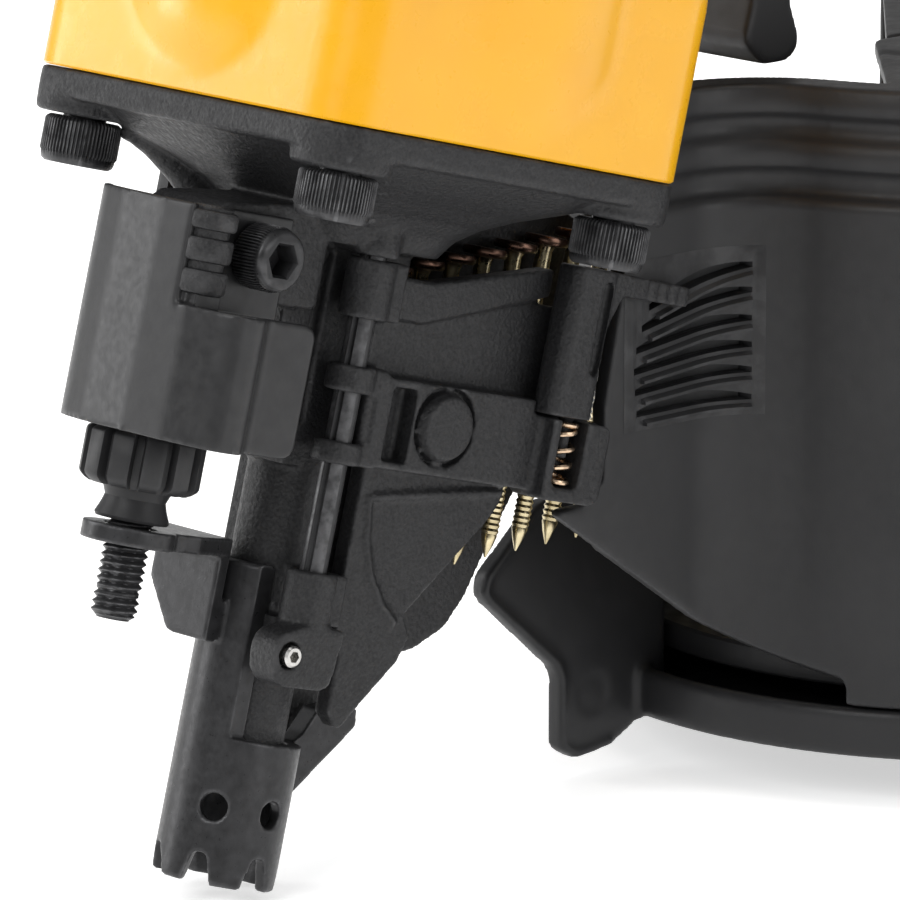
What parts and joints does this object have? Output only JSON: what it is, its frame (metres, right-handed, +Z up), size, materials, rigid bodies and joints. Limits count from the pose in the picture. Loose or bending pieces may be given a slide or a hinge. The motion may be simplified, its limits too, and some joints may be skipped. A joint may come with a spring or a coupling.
{
  "type": "pneumatic nail gun",
  "caption": "Air powered coil nailer: leaning driver body with handle and trigger, sliding contact foot, hinged feed door and a drum magazine with a swinging cover.",
  "frame": {"origin": "on the ground under the middle of the bounding box", "axes": "+X from the nose back to the air inlet, -Y the side of the feed door, +Z up along the canister's axis"},
  "size_m": [0.2922, 0.114, 0.2636],
  "materials": {
    "aluminium": "honed aluminium",
    "black_casting": "fine textured black casting",
    "black_oxide": "black oxide steel",
    "black_polymer": "satin black moulded polymer",
    "black_sheet": "satin black coated sheet steel",
    "bright_steel": "bright steel",
    "rubber": "black rubber",
    "spring_steel": "drawn spring wire",
    "yellow_paint": "glossy yellow paint over cast magnesium",
    "zinc_nail": "yellow zinc plated ring shank"
  },
  "bodies": {
    "tool": {"air_plug": "bright_steel", "arm_screw_canister": "black_oxide", "arm_screw_handle": "black_oxide", "body_housing": "yellow_paint", "bumper": "rubber", "canister_base": "black_polymer", "cap_screw_front_left": "black_oxide", "cap_screw_front_right": "black_oxide", "cap_screw_rear_left": "black_oxide", "cap_screw_rear_right": "black_oxide", "cover_pin": "bright_steel", "cylinder_liner": "aluminium", "deflector_screw": "bright_steel", "feed_cylinder": "black_casting", "handle_end_cap": "black_casting", "handle_grip": "rubber", "head_valve_spring": "spring_steel", "hinge_pin": "black_oxide", "magazine_arm": "black_casting", "nail_strip": "zinc_nail", "nose_base": "black_casting", "nose_screw_front_left": "black_oxide", "nose_screw_front_right": "black_oxide", "nose_screw_rear_left": "black_oxide", "nose_screw_rear_right": "black_oxide", "pin_set_screw": "bright_steel", "shield": "black_sheet", "shield_screw": "black_oxide", "top_cap": "black_casting", "trigger_pin": "bright_steel", "trigger_valve": "black_polymer", "trip_spring": "spring_steel"},
    "driver": {"piston_driver": "bright_steel", "piston_ring": "rubber"},
    "head_valve": {"head_valve": "black_polymer"},
    "trip": {"trip_arm": "black_sheet"},
    "depth_wheel": {"depth_wheel": "black_polymer", "wheel_clip": "bright_steel"},
    "contact_foot": {"contact_foot": "black_oxide"},
    "trigger": {"trigger": "black_polymer"},
    "valve_stem": {"valve_stem": "bright_steel"},
    "exhaust_deflector": {"exhaust_deflector": "black_polymer"},
    "feed_door": {"feed_door": "black_casting", "latch_spring": "spring_steel"},
    "door_latch": {"door_latch": "black_casting"},
    "feed_piston": {"feed_piston": "bright_steel"},
    "canister_cover": {"canister_cover": "black_polymer"},
    "nail_platform": {"nail_platform": "black_polymer", "nail_coil": "zinc_nail"}
  },
  "joints": [
    {"name": "driver_stroke", "type": "slide", "parent": "tool", "child": "driver", "axis": [-0.2588, 0, -0.9659], "range_m": [0, 0.07]},
    {"name": "head_valve_lift", "type": "slide", "parent": "tool", "child": "head_valve", "axis": [0.2588, 0, 0.9659], "range_m": [0, 0.004], "stiffness_N_per_m": 1500, "springref_m": -0.006, "deforming": ["head_valve_spring"]},
    {"name": "trip_slide", "type": "slide", "parent": "tool", "child": "trip", "axis": [0.2588, 0, 0.9659], "range_m": [0, 0.012], "stiffness_N_per_m": 1000, "springref_m": -0.03, "deforming": ["trip_spring"]},
    {"name": "depth_wheel_turn", "type": "hinge", "parent": "trip", "child": "depth_wheel", "pos_m": [-0.13795, -0.0013, 0.05725], "axis": [0.2588, 0, 0.9659], "range_deg": [0, 2540]},
    {"name": "foot_depth", "type": "slide", "parent": "trip", "child": "contact_foot", "axis": [-0.2588, 0, -0.9659], "range_m": [0, 0.007]},
    {"name": "trigger_pull", "type": "hinge", "parent": "tool", "child": "trigger", "pos_m": [-0.0402, 0, 0.14357], "axis": [0, -1, 0], "range_deg": [0, 12.2]},
    {"name": "valve_stem_lift", "type": "slide", "parent": "tool", "child": "valve_stem", "axis": [0, 0, 1], "range_m": [0, 0.0045], "stiffness_N_per_m": 900, "springref_m": -0.005},
    {"name": "deflector_turn", "type": "hinge", "parent": "tool", "child": "exhaust_deflector", "pos_m": [-0.0592, 0, 0.24838], "axis": [0.2588, 0, 0.9659], "continuous": true},
    {"name": "feed_door_swing", "type": "hinge", "parent": "tool", "child": "feed_door", "pos_m": [-0.11209, -0.0102, 0.06067], "axis": [-0.2588, 0, -0.9659], "range_deg": [0, 100]},
    {"name": "door_latch_lift", "type": "slide", "parent": "feed_door", "child": "door_latch", "axis": [0.2588, 0, 0.9659], "range_m": [0, 0.0055], "stiffness_N_per_m": 500, "springref_m": -0.008, "deforming": ["latch_spring"]},
    {"name": "feed_stroke", "type": "slide", "parent": "tool", "child": "feed_piston", "axis": [0.9659, 0, -0.2588], "range_m": [0, 0.0055], "stiffness_N_per_m": 800, "springref_m": -0.01},
    {"name": "cover_swing", "type": "hinge", "parent": "tool", "child": "canister_cover", "pos_m": [0.0778, 0, 0.05207], "axis": [0, 0, 1], "range_deg": [0, 110]},
    {"name": "platform_height", "type": "slide", "parent": "tool", "child": "nail_platform", "axis": [0, 0, 1], "range_m": [0, 0.028]}
  ],
  "couplings": [
    {"joint": "depth_wheel_turn", "follows": "foot_depth", "rad_per_m": 6283.2},
    {"joint": "trigger_pull", "follows": "valve_stem_lift", "rad_per_m": 46.51}
  ]
}
